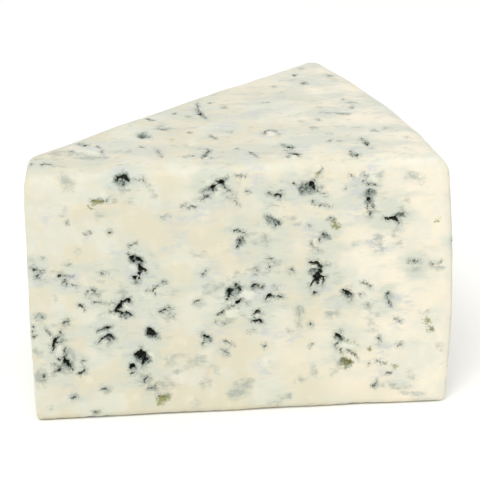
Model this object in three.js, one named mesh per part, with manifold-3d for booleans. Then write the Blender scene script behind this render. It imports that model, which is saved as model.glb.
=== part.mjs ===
// A wedge of rindless blue cheese, cut from a low round wheel.
//
// Millimetres, +Z up. The wedge lies on its flat underside. Its blunt tip points to -X, the piece of the
// wheel's side that it keeps (the heel) faces +X, and the two cut faces meet at the tip. The origin is the
// middle of the wedge's footprint, on the surface that it rests on.
//
// The paste is one solid: a body built up from level outlines, with the largest mould pockets that the cuts
// opened hollowed out of it.

import * as THREE from "three";
import { mergeVertices } from "three/addons/utils/BufferGeometryUtils.js";
import Module from "manifold-3d";

const wasm = await Module();
wasm.setup();

// Driving dimensions
const WHEEL_RADIUS = 105; // from the wheel's middle, where the cuts would meet, to its side
const WHEEL_HEIGHT = 59; // from the underside to the flat of the top
const WEDGE_ANGLE = THREE.MathUtils.degToRad(38); // between the two cut faces
const HEEL_RADIUS = 196; // the wheel's side has settled flatter than the true circle
const TIP_ROUND = 7.2; // the soft tip is pressed round on its far side
const TIP_TURN = THREE.MathUtils.degToRad(22.8); // and flat at its end, turned this far from square
const TIP_CORNER = 1; // upright corner between the flat end of the tip and the near cut face
const CORNER_ROUND = 0.6; // upright corners between the cut faces and the heel
const RIM_ROUND = 4.4; // the wheel's own upper edge, above the heel
const KNIFE_ROUND = 4.2; // upper edges of the cut faces, smeared over by the knife
const TIP_EDGE_SHARE = 0.4; // the upper edge of the tip is turned in only this much of the knife's round
const BASE_ROUND = 1; // lower edge, all round
const HEEL_BELLY = 1.6; // how far the heel draws in at its foot and at its rim
const TIP_BELLY = 1; // how far the tip bulges at half height
const TIP_BELLY_REACH = 15; // the bulge fades over this distance from the tip
const FAR_EDGE_CROWN = 1; // rise of the top along the far cut edge
const CROWN_DEPTH = 12; // the rise fades over this depth below the top

// How finely the body is divided
const TIP_STEPS = 6;
const TIP_END_STEPS = 3;
const CUT_STEPS = 12;
const CORNER_STEPS = 3;
const HEEL_STEPS = 12;
const FOOT_STEPS = 2;
const SIDE_STEPS = 8;
const RIM_STEPS = 6;
const TOP_STEPS = 4;
const POCKET_SEGMENTS = 10;
const POCKET_RINGS = 7;

// Derived places. The sharp point, where the two cut planes meet, lies just outside the blunt tip, and is the
// zero of all the functions below until the wedge is moved onto its own origin.
const HALF_ANGLE = WEDGE_ANGLE / 2;
const TIP_CENTRE = new THREE.Vector2(TIP_ROUND / Math.sin(HALF_ANGLE), 0);
const HALF_HEEL = WHEEL_RADIUS * Math.sin(HALF_ANGLE);
const HEEL_CENTRE = new THREE.Vector2(
  WHEEL_RADIUS * Math.cos(HALF_ANGLE) - Math.sqrt(HEEL_RADIUS ** 2 - HALF_HEEL ** 2),
  0,
);

// The largest open pockets on the near cut face and on the far one: distance along the face from the sharp
// point, height, half length, half height, turn in degrees.
const NEAR_POCKETS = [
  [34.0, 56.2, 1.6, 1.4, 0],
  [54.8, 54.5, 1.7, 0.8, -35],
  [74.1, 53.0, 1.4, 1.2, -60],
  [91.5, 44.6, 2.0, 0.8, 0],
  [36.5, 37.7, 1.6, 0.9, -35],
  [32.5, 26.9, 1.9, 0.8, 60],
  [75.4, 31.3, 1.4, 1.7, 0],
  [56.9, 29.0, 1.6, 1.1, 40],
  [81.8, 27.4, 1.5, 0.8, -45],
  [39.2, 20.1, 1.1, 1.4, 0],
  [30.0, 19.8, 1.8, 0.7, 15],
  [36.8, 14.7, 1.6, 1.9, 40],
  [20.4, 14.1, 1.6, 0.9, -40],
  [81.3, 10.7, 1.7, 0.9, 0],
];
const FAR_POCKETS = [
  [30.0, 44.0, 1.7, 1.2, 20],
  [47.5, 31.0, 1.5, 1.6, 0],
  [58.0, 49.5, 1.9, 0.9, -25],
  [69.0, 18.5, 1.6, 1.4, 45],
  [78.5, 39.0, 1.8, 1.1, 10],
  [90.0, 24.0, 1.4, 1.0, -50],
  [38.0, 14.0, 1.8, 1.0, 30],
];
// On the top: distance from the sharp point towards the heel along the near face, distance in from that face,
// half length, half width, turn in degrees.
const TOP_POCKETS = [
  [39.4, 16.4, 1.1, 1.5, 0],
  [52.4, 28.5, 0.8, 1.9, 0],
  [70.5, 7.6, 0.8, 1.5, 0],
  [76.9, 44.7, 0.7, 0.9, 0],
];
const POCKET_DEPTH = 1.4; // how far every pocket reaches in

// Directions that belong to a cut face: side -1 is the near face, towards -Y, and side 1 is the far one.
function alongCut(side) {
  return new THREE.Vector2(Math.cos(HALF_ANGLE), side * Math.sin(HALF_ANGLE));
}

function outOfCut(side) {
  return new THREE.Vector2(-Math.sin(HALF_ANGLE), side * Math.cos(HALF_ANGLE));
}

// Points on an arc, both ends included.
function arc(centre, radius, fromAngle, toAngle, steps) {
  const points = [];
  for (let i = 0; i <= steps; i += 1) {
    const angle = THREE.MathUtils.lerp(fromAngle, toAngle, i / steps);
    points.push(new THREE.Vector2(Math.cos(angle), Math.sin(angle)).multiplyScalar(radius).add(centre));
  }
  return points;
}

// Points strictly between two others, on a straight line.
function between(from, to, steps) {
  const points = [];
  for (let i = 1; i < steps; i += 1) {
    points.push(from.clone().lerp(to, i / steps));
  }
  return points;
}

// Where a cut plane, moved in by cutInset, meets the heel's arc, moved in by heelInset.
function heelCorner(side, cutInset, heelInset) {
  const start = outOfCut(side).multiplyScalar(-cutInset);
  const direction = alongCut(side);
  const fromCentre = start.clone().sub(HEEL_CENTRE);
  const half = fromCentre.dot(direction);
  const reach = -half + Math.sqrt(half ** 2 - fromCentre.lengthSq() + (HEEL_RADIUS - heelInset) ** 2);
  return start.addScaledVector(direction, reach);
}

// The small round between a cut face and the heel, from the cut face to the heel.
function roundedCorner(side, cutInset, heelInset) {
  const corner = heelCorner(side, cutInset, heelInset);
  const fromCut = corner.clone().addScaledVector(alongCut(side), -CORNER_ROUND);
  const outOfHeel = corner.clone().sub(HEEL_CENTRE).normalize();
  const alongHeel = new THREE.Vector2(side * outOfHeel.y, -side * outOfHeel.x);
  const fromHeel = corner.clone().addScaledVector(alongHeel, CORNER_ROUND);
  return new THREE.QuadraticBezierCurve(fromCut, corner, fromHeel).getPoints(CORNER_STEPS);
}

// The blunt tip, from the far cut to the near one: its round far side, its flat end and its near corner.
function bluntTip(cutInset, tipInset) {
  const round = [];
  for (let i = 0; i <= TIP_STEPS; i += 1) {
    const angle = THREE.MathUtils.lerp(Math.PI / 2 + HALF_ANGLE, Math.PI - TIP_TURN, i / TIP_STEPS);
    const radius = TIP_ROUND - THREE.MathUtils.lerp(cutInset, tipInset, i / TIP_STEPS);
    round.push(new THREE.Vector2(Math.cos(angle), Math.sin(angle)).multiplyScalar(radius).add(TIP_CENTRE));
  }
  const end = round.at(-1);
  const alongEnd = new THREE.Vector2(-Math.sin(TIP_TURN), -Math.cos(TIP_TURN));
  const outwards = outOfCut(-1);
  const toCut = (-cutInset - end.dot(outwards)) / alongEnd.dot(outwards);
  const corner = end.clone().addScaledVector(alongEnd, toCut);
  const fromEnd = corner.clone().addScaledVector(alongEnd, -TIP_CORNER);
  const ontoCut = corner.clone().addScaledVector(alongCut(-1), TIP_CORNER);
  const nearCorner = new THREE.QuadraticBezierCurve(fromEnd, corner, ontoCut).getPoints(CORNER_STEPS);
  return [...round, ...between(end, fromEnd, TIP_END_STEPS), ...nearCorner];
}

// One level outline of the wedge, anticlockwise: tip, near cut, corner, heel, corner, far cut.
function outline(cutInset, heelInset, tipInset) {
  const tip = bluntTip(cutInset, tipInset);
  const nearCorner = roundedCorner(-1, cutInset, heelInset);
  const farCorner = roundedCorner(1, cutInset, heelInset).reverse();
  const heelTurn = farCorner[0].clone().sub(HEEL_CENTRE).angle();
  const heel = arc(HEEL_CENTRE, HEEL_RADIUS - heelInset, -heelTurn, heelTurn, HEEL_STEPS);
  return [
    ...tip,
    ...between(tip.at(-1), nearCorner[0], CUT_STEPS),
    ...nearCorner,
    ...heel.slice(1, -1),
    ...farCorner,
    ...between(farCorner.at(-1), tip[0], CUT_STEPS),
  ];
}

// How far an edge of the given round has turned in, at a distance from the face that it turns into.
function turnIn(round, distance) {
  const left = Math.max(round - distance, 0);
  return round - Math.sqrt(round ** 2 - left ** 2);
}

// The heights of the side's outlines, closer together where the edges turn.
function sideLevels() {
  const levels = [];
  for (let i = 0; i < FOOT_STEPS; i += 1) {
    levels.push((BASE_ROUND * i) / FOOT_STEPS);
  }
  for (let i = 0; i <= SIDE_STEPS; i += 1) {
    levels.push(THREE.MathUtils.lerp(BASE_ROUND, WHEEL_HEIGHT - RIM_ROUND, i / SIDE_STEPS));
  }
  for (let i = 1; i <= RIM_STEPS; i += 1) {
    levels.push(WHEEL_HEIGHT - RIM_ROUND * (1 - Math.sin((Math.PI * i) / 2 / RIM_STEPS)));
  }
  return levels;
}

// Gives a point the belly of the tip and the crown of the top, which the soft paste takes as it settles.
function settle(point) {
  const fromMiddle = (2 * point.z) / WHEEL_HEIGHT - 1;
  const fromTip = Math.hypot(point.x, point.y);
  const nearTip = Math.exp(-Math.max(fromTip - TIP_CENTRE.x + TIP_ROUND, 0) / TIP_BELLY_REACH);
  const alongTop = Math.min(fromTip / WHEEL_RADIUS, 1);
  const acrossTop = THREE.MathUtils.smoothstep(Math.atan2(point.y, point.x), -HALF_ANGLE, HALF_ANGLE);
  const nearTop = THREE.MathUtils.clamp(1 - (WHEEL_HEIGHT - point.z) / CROWN_DEPTH, 0, 1);
  point.x -= TIP_BELLY * (1 - fromMiddle ** 2) * nearTip;
  point.z += FAR_EDGE_CROWN * 4 * alongTop * (1 - alongTop) * acrossTop * nearTop;
  return point;
}

// Every ring of the body, from the foot of the side up and then in over the top.
function bodyRings() {
  const rings = sideLevels().map((z) => {
    const knifeTurn = turnIn(KNIFE_ROUND, WHEEL_HEIGHT - z);
    const cutInset = knifeTurn + turnIn(BASE_ROUND, z);
    const tipInset = knifeTurn * TIP_EDGE_SHARE + turnIn(BASE_ROUND, z);
    const drawIn = HEEL_BELLY * ((2 * z) / WHEEL_HEIGHT - 1) ** 2;
    const heelInset = turnIn(RIM_ROUND, WHEEL_HEIGHT - z) + turnIn(BASE_ROUND, z) + drawIn;
    return outline(cutInset, heelInset, tipInset).map((p) => new THREE.Vector3(p.x, p.y, z));
  });
  const edge = rings.at(-1);
  const middle = centreOf(edge);
  for (let i = 1; i < TOP_STEPS; i += 1) {
    rings.push(edge.map((p) => p.clone().lerp(middle, i / TOP_STEPS)));
  }
  return rings;
}

function centreOf(ring) {
  const sum = new THREE.Vector3();
  ring.forEach((p) => sum.add(p));
  return sum.divideScalar(ring.length);
}

// The closed body: the rings joined by strips, with a fan over the underside and one at the middle of the
// top.
function bodyGeometry() {
  const rings = bodyRings();
  const count = rings[0].length;
  const points = [centreOf(rings[0]), ...rings.flat(), centreOf(rings.at(-1))].map(settle);
  const last = points.length - 1;
  const triangles = [];
  for (let i = 0; i < count; i += 1) {
    const next = (i + 1) % count;
    triangles.push(0, 1 + next, 1 + i);
    for (let r = 0; r < rings.length - 1; r += 1) {
      const low = 1 + r * count;
      const high = low + count;
      triangles.push(low + i, low + next, high + next, low + i, high + next, high + i);
    }
    const top = last - count;
    triangles.push(top + i, top + next, last);
  }
  const geometry = new THREE.BufferGeometry();
  const positions = points.flatMap((p) => p.toArray());
  geometry.setAttribute("position", new THREE.Float32BufferAttribute(positions, 3));
  geometry.setIndex(triangles);
  return geometry;
}

// An open pocket: an ellipsoid sunk into a face. across and up are the face's own directions.
function pocketGeometry(centre, across, up, outward, halfLength, halfHeight, turn) {
  const shape = new THREE.SphereGeometry(1, POCKET_SEGMENTS, POCKET_RINGS);
  const frame = new THREE.Matrix4().makeBasis(across, up, outward).setPosition(centre);
  shape.scale(halfLength, halfHeight, POCKET_DEPTH);
  shape.rotateZ(THREE.MathUtils.degToRad(turn));
  return shape.applyMatrix4(frame);
}

function cutFacePocket(side, [along, height, halfLength, halfHeight, turn]) {
  const direction = alongCut(side);
  const normal = outOfCut(side);
  const shoulder = turnIn(KNIFE_ROUND, WHEEL_HEIGHT - height);
  const place = direction.clone().multiplyScalar(along).addScaledVector(normal, -shoulder);
  const across = new THREE.Vector3(-side * direction.x, -side * direction.y, 0);
  const outward = new THREE.Vector3(normal.x, normal.y, 0);
  const up = new THREE.Vector3(0, 0, 1);
  const centre = new THREE.Vector3(place.x, place.y, height);
  return pocketGeometry(centre, across, up, outward, halfLength, halfHeight, -side * turn);
}

function topPocket([along, inward, halfLength, halfWidth, turn]) {
  const place = alongCut(-1).multiplyScalar(along).addScaledVector(outOfCut(-1), -inward);
  const centre = settle(new THREE.Vector3(place.x, place.y, WHEEL_HEIGHT));
  const across = new THREE.Vector3(alongCut(-1).x, alongCut(-1).y, 0);
  const inDirection = new THREE.Vector3(-outOfCut(-1).x, -outOfCut(-1).y, 0);
  return pocketGeometry(centre, across, inDirection, new THREE.Vector3(0, 0, 1), halfLength, halfWidth, turn);
}

function toSolid(geometry) {
  geometry.deleteAttribute("normal");
  geometry.deleteAttribute("uv");
  const merged = mergeVertices(geometry);
  const vertProperties = merged.attributes.position.array;
  const triVerts = new Uint32Array(merged.index.array);
  return new wasm.Manifold(new wasm.Mesh({ numProp: 3, vertProperties, triVerts }));
}

function toGeometry(solid) {
  const mesh = solid.getMesh();
  const geometry = new THREE.BufferGeometry();
  geometry.setAttribute("position", new THREE.Float32BufferAttribute(mesh.vertProperties, 3));
  geometry.setIndex(Array.from(mesh.triVerts));
  return geometry;
}

function cheeseGeometry() {
  const pockets = [
    ...NEAR_POCKETS.map((pocket) => cutFacePocket(-1, pocket)),
    ...FAR_POCKETS.map((pocket) => cutFacePocket(1, pocket)),
    ...TOP_POCKETS.map(topPocket),
  ];
  const solid = pockets.reduce((rest, pocket) => rest.subtract(toSolid(pocket)), toSolid(bodyGeometry()));
  const geometry = toGeometry(solid);
  geometry.computeBoundingBox();
  const footprint = geometry.boundingBox.getCenter(new THREE.Vector3());
  geometry.translate(-footprint.x, -footprint.y, 0);
  geometry.computeVertexNormals();
  return geometry;
}

const paste = new THREE.MeshStandardMaterial({ color: 0xefe9d8, roughness: 0.55, metalness: 0 });
const cheese = new THREE.Mesh(cheeseGeometry(), paste);
cheese.name = "cheese_wedge";

const group = new THREE.Group();
group.add(cheese);

export default group;
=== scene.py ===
import math
import random
from dataclasses import dataclass
from functools import partial

import bmesh
import bpy
import numpy as np
from mathutils import Matrix, Vector, noise
from mathutils.bvhtree import BVHTree


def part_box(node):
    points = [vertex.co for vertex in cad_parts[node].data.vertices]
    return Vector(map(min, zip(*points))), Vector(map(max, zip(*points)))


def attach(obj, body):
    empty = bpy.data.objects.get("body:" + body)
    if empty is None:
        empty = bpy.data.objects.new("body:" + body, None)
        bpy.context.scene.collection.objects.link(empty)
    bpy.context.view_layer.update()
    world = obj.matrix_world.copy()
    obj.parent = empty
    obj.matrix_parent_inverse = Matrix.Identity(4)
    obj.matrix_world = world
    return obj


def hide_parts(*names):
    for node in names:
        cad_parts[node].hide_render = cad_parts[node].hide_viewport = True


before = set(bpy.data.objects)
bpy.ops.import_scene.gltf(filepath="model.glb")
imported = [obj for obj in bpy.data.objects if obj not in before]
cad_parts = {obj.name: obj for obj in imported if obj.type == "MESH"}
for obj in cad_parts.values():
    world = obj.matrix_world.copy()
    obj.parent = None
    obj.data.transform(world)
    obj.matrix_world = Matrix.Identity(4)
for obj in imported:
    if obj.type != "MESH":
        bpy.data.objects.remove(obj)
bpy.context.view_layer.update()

MM = 0.001

# The wheel that the wedge is cut from, and the flatter curve of its heel
WHEEL_RADIUS = 105.0
WHEEL_HEIGHT = 59.0
HALF_ANGLE = math.radians(19.0)
HEEL_RADIUS = 196.0
WHEEL_SIDES = 168

# The blunt tip: how far its flat end is turned, its soft far side and its crisp near corner
TIP_TURN = math.radians(22.8)
TIP_ROUND = 7.2
TIP_CORNER = 1.0

# The rounds of the far upright corner and of the foot, and how many faces make a wide and a narrow round
FAR_CORNER_ROUND = 4.4
BASE_ROUND = 1.0
WIDE_SEGMENTS = 6
NARROW_SEGMENTS = 3

# The top edge: its round, how far in from it the paste is dragged, and the share of that at the tip's end
TOP_ROUND = 4.2
ROLL_REACH = 7.0
TIP_EDGE_SHARE = 0.4

# How the paste has settled: the bellies of the tip and the heel, and how the top rises towards the far edge
TIP_BELLY = 0.5
TIP_BELLY_REACH = 15.0
HEEL_BELLY = 1.6
HEEL_BELLY_STARTS = 26
HEEL_BELLY_SPREAD = 22
FAR_EDGE_CROWN = 1.0
CROWN_DEPTH = 12.0

# How finely the paste is modelled: the spacing of its points, which is halved twice near the mould
PASTE_GRID = 1.1
FIRST_REFINE_REACH = 0.75
SECOND_REFINE_REACH = 0.22
REFINE_SEARCH = 1.5

# The sharp point, where the two cut planes meet, lies just outside the blunt tip
HALF_HEEL = WHEEL_RADIUS * math.sin(HALF_ANGLE)
HEEL_CENTRE_FROM_POINT = WHEEL_RADIUS * math.cos(HALF_ANGLE) - math.sqrt(HEEL_RADIUS**2 - HALF_HEEL**2)
HEEL_REACH = HEEL_CENTRE_FROM_POINT + HEEL_RADIUS
SHARP_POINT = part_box("cheese_wedge")[1].x / MM - HEEL_REACH
TIP_CENTRE_FROM_POINT = TIP_ROUND / math.sin(HALF_ANGLE)

NEAR, FAR = -1, 1
SAME_PLACE = 0.01
# Marks on the top start a little above it; all marks are brought onto the paste before they are used
ABOVE_TOP = 0.5


# ---------------------------------------------------------------- places on the wedge, in millimetres

def on_cut(side, along, height):
    """A point on a cut face: along from the sharp point, and up from the floor."""
    x = SHARP_POINT + along * math.cos(HALF_ANGLE)
    return (x, side * along * math.sin(HALF_ANGLE), height)


def on_top(along, inward):
    """A point just above the top: along the near cut face, and inward from it."""
    x = SHARP_POINT + along * math.cos(HALF_ANGLE) + inward * math.sin(HALF_ANGLE)
    y = -along * math.sin(HALF_ANGLE) + inward * math.cos(HALF_ANGLE)
    return (x, y, WHEEL_HEIGHT + ABOVE_TOP)


def on_heel(across, height):
    """A point on the heel: across from its middle, towards the far side, and up."""
    turn = across / HEEL_RADIUS
    x = SHARP_POINT + HEEL_CENTRE_FROM_POINT + HEEL_RADIUS * math.cos(turn)
    return (x, HEEL_RADIUS * math.sin(turn), height)


# ---------------------------------------------------------------- marks in the paste, drawn one by one
# Each mark is a half width, followed by the two measures of each point that it runs through. Open pockets
# are black and deep, hollows are shallow, veins are dark cracks, grey is mould smeared thin, bloom is the
# pale lilac round a pocket, a curd stands up and olive is a stain.

NEAR_MARKS = {
    "open": [
        # the round pocket under the top edge
        (0.66, 34.4, 57.5, 33.4, 57.4), (0.58, 34.6, 57.4, 35.4, 56.7), (0.34, 35.2, 56.7, 35.6, 56.0),
        (0.36, 33.1, 57.2, 32.7, 56.2), (0.18, 34.0, 55.3, 34.7, 55.2),
        # the star below the middle of the top edge
        (0.56, 55.1, 54.8, 54.3, 55.2), (0.42, 55.2, 54.7, 55.9, 53.4), (0.3, 55.2, 55.0, 56.2, 55.7),
        (0.48, 53.2, 53.9, 53.3, 52.9), (0.28, 53.2, 54.0, 52.2, 53.6), (0.22, 53.3, 54.0, 54.3, 54.6),
        # the pocket with a grey floor, and the dash to its left
        (0.62, 74.2, 53.4, 73.7, 54.0), (0.62, 74.3, 53.2, 74.8, 52.0), (0.2, 74.8, 54.3),
        (0.36, 67.1, 51.2, 66.0, 51.5), (0.36, 67.1, 51.2, 68.1, 51.1), (0.22, 67.5, 50.6),
        (0.2, 65.0, 51.9),
        # the arrow towards the tip
        (0.5, 91.7, 44.7, 89.8, 44.7), (0.42, 91.9, 44.7, 92.8, 43.6), (0.26, 91.9, 44.9, 92.8, 45.4),
        (0.3, 93.7, 45.8, 93.8, 45.3),
        # the chain above the left middle
        (0.55, 35.5, 38.2, 35.0, 38.7), (0.48, 36.8, 37.9, 37.6, 37.1), (0.34, 35.7, 37.5, 36.2, 37.0),
        (0.58, 37.3, 35.8, 38.4, 35.0), (0.3, 37.2, 36.1, 36.6, 36.8), (0.5, 37.0, 34.6, 36.8, 34.2),
        (0.46, 36.0, 33.5, 36.1, 33.1), (0.28, 36.9, 33.4),
        # the crevice round a pale curd
        (0.62, 32.4, 26.9, 33.1, 27.9), (0.5, 32.4, 27.0, 31.2, 25.9), (0.38, 33.0, 28.0, 34.8, 28.4),
        (0.4, 34.6, 28.3, 35.1, 27.4), (0.34, 31.8, 25.7, 33.2, 25.5), (0.36, 34.0, 25.4, 35.1, 24.6),
        (0.34, 33.1, 25.3, 32.7, 24.5),
        # the double arch left of it
        (0.34, 29.6, 22.0, 30.6, 22.3), (0.26, 29.5, 22.0, 28.2, 21.5), (0.44, 29.9, 20.1, 28.8, 19.6),
        (0.34, 30.2, 20.2, 31.1, 19.2), (0.24, 28.4, 19.4, 27.4, 18.6), (0.24, 29.8, 19.8, 29.9, 18.6),
        # the ragged black pocket and the diamond below it
        (0.58, 38.8, 20.9, 38.4, 21.5), (0.86, 39.0, 20.1, 39.3, 19.5), (0.4, 39.8, 20.1),
        (0.2, 40.5, 18.9, 40.8, 19.3), (0.74, 36.1, 15.2, 35.4, 15.3), (1.15, 36.9, 14.8, 37.6, 14.0),
        (0.66, 37.5, 13.6, 38.2, 13.6), (0.34, 36.8, 15.9, 36.7, 16.6), (0.4, 37.2, 13.2, 36.9, 12.6),
        (0.66, 34.7, 12.5, 34.4, 11.9), (0.34, 34.9, 12.2, 35.5, 12.0), (0.28, 34.5, 10.9, 35.0, 10.9),
        # the slit and the black pocket near the tip's foot
        (0.44, 18.3, 19.6, 17.6, 17.2), (0.26, 18.4, 19.9, 19.3, 20.5), (0.24, 18.5, 19.2, 19.7, 19.1),
        (0.7, 20.5, 14.0, 20.9, 13.4), (0.4, 20.9, 13.5, 21.9, 12.2), (0.32, 20.2, 14.3, 18.8, 15.2),
        (0.3, 20.4, 14.4, 20.2, 15.6), (0.28, 19.0, 12.3, 17.8, 11.8), (0.24, 13.6, 20.7, 13.9, 20.8),
        # small deep ones at the left
        (0.24, 14.4, 36.6, 15.2, 36.5), (0.24, 15.1, 34.9), (0.26, 19.9, 35.0, 20.6, 34.9),
        (0.22, 20.6, 33.3), (0.2, 28.7, 35.1, 29.1, 34.9), (0.2, 29.4, 34.9, 30.0, 35.0),
        # the cluster in the middle
        (0.4, 57.7, 30.8, 57.8, 30.3), (0.62, 56.3, 29.3, 57.2, 29.4), (0.4, 58.4, 29.6, 57.6, 29.8),
        (0.44, 56.2, 28.7, 55.6, 27.2), (0.46, 57.9, 26.5, 58.3, 26.8), (0.2, 58.2, 26.8, 58.8, 27.4),
        (0.4, 61.5, 30.4, 61.1, 30.0), (0.34, 61.6, 30.5, 62.7, 30.4), (0.24, 63.4, 30.0, 62.9, 29.6),
        (0.46, 64.9, 27.8, 64.1, 27.2), (0.42, 65.0, 27.8, 65.9, 27.2), (0.28, 66.8, 27.5, 67.9, 27.1),
        # the ring below it and the slit to its left
        (0.3, 62.0, 24.2, 61.3, 23.5), (0.24, 62.1, 24.2, 63.0, 23.5), (0.34, 62.4, 21.9, 61.0, 21.9),
        (0.38, 62.5, 21.9, 63.2, 21.4), (0.38, 51.3, 18.5, 50.2, 19.1), (0.3, 51.3, 18.5, 52.0, 18.2),
        (0.26, 41.2, 25.2, 41.6, 25.1), (0.26, 42.0, 25.6, 42.8, 25.6),
        # the big pocket right of the middle
        (0.4, 74.6, 35.1, 73.6, 35.1), (0.4, 75.0, 35.0, 76.3, 34.0), (0.28, 76.2, 34.1, 76.2, 33.1),
        (0.5, 75.8, 33.0, 75.7, 32.2), (0.96, 75.3, 31.6, 75.5, 31.1), (0.36, 75.9, 31.5, 77.2, 31.6),
        (0.46, 75.2, 30.8, 75.3, 29.8), (0.32, 74.6, 30.8, 73.5, 29.4), (0.24, 76.6, 31.2, 76.4, 29.5),
        (0.28, 74.6, 27.9, 75.2, 27.9), (0.42, 81.2, 28.0, 80.6, 28.2), (0.48, 81.7, 27.5, 82.8, 26.9),
        # the crack between two curds, the upright chain and the ring at the right
        (0.2, 57.6, 43.5, 58.5, 43.6), (0.24, 58.8, 41.0, 58.6, 40.6), (0.26, 58.0, 39.7, 57.9, 39.5),
        (0.22, 59.2, 41.7, 59.4, 41.3), (0.24, 67.1, 44.7), (0.18, 66.2, 44.2, 67.0, 44.6),
        (0.24, 65.0, 34.6), (0.2, 64.0, 41.9, 64.4, 41.9), (0.42, 86.3, 49.2, 86.8, 48.8),
        (0.24, 86.5, 51.2, 86.3, 50.4), (0.24, 86.7, 46.1, 86.7, 45.4), (0.18, 86.5, 52.8, 87.0, 52.6),
        (0.26, 76.6, 41.6, 77.4, 41.2),
        # the lower right
        (0.3, 73.7, 20.5, 73.8, 20.2), (0.48, 79.6, 17.4, 79.1, 17.8), (0.36, 79.9, 17.2, 80.4, 16.3),
        (0.2, 95.3, 34.4), (0.22, 96.1, 34.5, 96.7, 34.3), (0.18, 78.1, 45.2, 78.7, 45.3),
        (0.2, 90.5, 26.9, 90.6, 26.6), (0.18, 41.9, 32.1), (0.2, 63.4, 15.8, 63.8, 16.1), (0.2, 51.3, 34.4),
        (0.18, 50.7, 33.6),
    ],
    "hollow": [
        (1.25, 33.8, 56.6, 34.6, 56.3), (1.45, 72.9, 52.3, 73.8, 52.3), (0.62, 92.3, 44.9, 93.2, 45.5),
        (0.95, 35.9, 38.0, 37.2, 37.2), (0.6, 32.9, 25.0, 33.9, 24.7), (1.5, 36.8, 14.7, 37.6, 13.9),
        (0.95, 56.4, 29.0, 57.7, 29.0), (0.8, 74.3, 33.1, 75.4, 32.9), (0.85, 86.8, 50.8, 86.5, 48.8),
        (0.75, 65.2, 45.7, 66.7, 44.7), (0.42, 28.9, 21.6, 30.4, 22.1), (0.7, 29.8, 19.8, 30.4, 19.4),
        (1.05, 38.9, 20.5, 39.4, 19.7), (0.9, 20.4, 14.0, 21.0, 13.5), (0.65, 81.3, 27.6, 82.3, 26.8),
        (0.95, 80.8, 10.9, 81.9, 10.5), (0.5, 52.4, 53.4, 53.6, 53.5), (0.55, 58.4, 41.2, 58.9, 40.4),
        (0.6, 61.6, 30.0, 62.2, 29.9), (0.45, 50.6, 18.3, 51.7, 17.9), (0.45, 57.8, 30.4, 58.2, 29.9),
        (0.6, 79.6, 17.1, 80.2, 16.6), (0.55, 34.6, 12.3, 35.2, 11.9), (0.5, 76.9, 41.2, 77.6, 40.9),
    ],
    "vein": [
        (0.12, 35.9, 56.3, 37.2, 56.4, 38.6, 56.4), (0.14, 38.6, 56.3, 39.0, 55.2),
        (0.16, 33.6, 55.4, 34.1, 55.1, 34.7, 55.5), (0.2, 33.9, 56.9, 34.2, 56.2),
        (0.12, 55.2, 55.0, 56.1, 55.6), (0.14, 54.2, 55.2, 53.6, 55.2),
        (0.16, 53.0, 53.4, 52.2, 53.3, 51.0, 53.0), (0.22, 52.1, 51.8, 51.4, 51.8, 51.0, 51.0),
        (0.18, 52.2, 53.4, 52.3, 52.6), (0.1, 56.0, 53.4, 57.0, 52.8, 57.9, 51.7),
        (0.1, 56.6, 51.4, 57.6, 50.6, 58.8, 49.4), (0.13, 75.0, 52.9, 76.3, 52.6),
        (0.14, 75.1, 51.9, 76.1, 51.4, 77.1, 51.0), (0.2, 70.2, 53.7, 71.6, 53.3),
        (0.22, 71.8, 52.1, 72.1, 51.3), (0.12, 72.2, 53.6, 73.3, 53.6),
        (0.12, 74.3, 49.6, 74.6, 48.9, 75.5, 49.0), (0.14, 75.8, 48.4, 76.7, 48.5, 78.0, 48.0),
        (0.14, 65.2, 51.7, 66.0, 51.3), (0.12, 67.4, 52.2, 68.1, 52.2), (0.14, 58.2, 56.4, 60.1, 56.0),
        (0.14, 46.6, 49.8, 47.4, 50.0), (0.14, 48.0, 49.6, 49.6, 49.4), (0.12, 42.1, 47.4, 43.4, 47.6),
        (0.2, 27.5, 51.9, 29.2, 51.9), (0.14, 29.2, 51.8, 30.4, 51.7, 31.2, 52.2), (0.2, 32.2, 52.1),
        (0.18, 22.1, 47.3), (0.16, 31.0, 44.7, 30.8, 44.2), (0.12, 25.9, 44.0, 26.0, 44.5, 26.9, 44.7),
        (0.16, 35.1, 41.1, 35.8, 41.4, 36.5, 41.8), (0.16, 22.0, 37.7, 22.4, 37.5),
        (0.16, 16.4, 39.2, 16.7, 39.0), (0.14, 15.2, 36.4, 16.0, 36.2, 16.8, 36.3),
        (0.14, 15.2, 35.1, 15.8, 35.8), (0.14, 20.7, 34.8, 21.6, 34.6, 22.4, 34.6),
        (0.14, 20.7, 33.4, 21.3, 34.1), (0.14, 21.5, 33.0, 21.4, 32.5), (0.12, 22.5, 32.6, 23.4, 32.3),
        (0.14, 34.8, 39.1, 35.4, 38.6), (0.22, 37.3, 37.9, 37.9, 37.3), (0.18, 36.6, 37.0, 37.2, 36.3),
        (0.2, 36.0, 32.6, 36.8, 32.2), (0.16, 26.2, 29.9, 26.9, 30.2), (0.18, 26.8, 31.2, 27.3, 31.0),
        (0.1, 25.5, 30.1, 25.7, 31.0, 26.6, 31.4), (0.12, 27.4, 30.4, 27.9, 29.6),
        (0.12, 27.1, 28.3, 28.7, 28.0, 30.5, 27.6), (0.12, 31.0, 27.8, 31.9, 27.9),
        (0.2, 38.5, 30.4, 39.6, 30.2, 40.2, 29.4), (0.14, 39.7, 30.3, 40.4, 31.3, 41.9, 32.1, 42.9, 32.2),
        (0.14, 16.3, 22.8, 17.2, 21.1), (0.18, 19.3, 21.7, 19.8, 20.9), (0.16, 19.4, 19.3, 20.2, 19.5),
        (0.16, 20.2, 17.8, 20.3, 16.5), (0.18, 20.6, 16.2, 20.0, 15.6, 19.0, 15.0),
        (0.18, 17.8, 14.0, 18.6, 13.5, 19.3, 13.1), (0.2, 18.9, 12.4, 19.6, 13.0),
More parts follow.
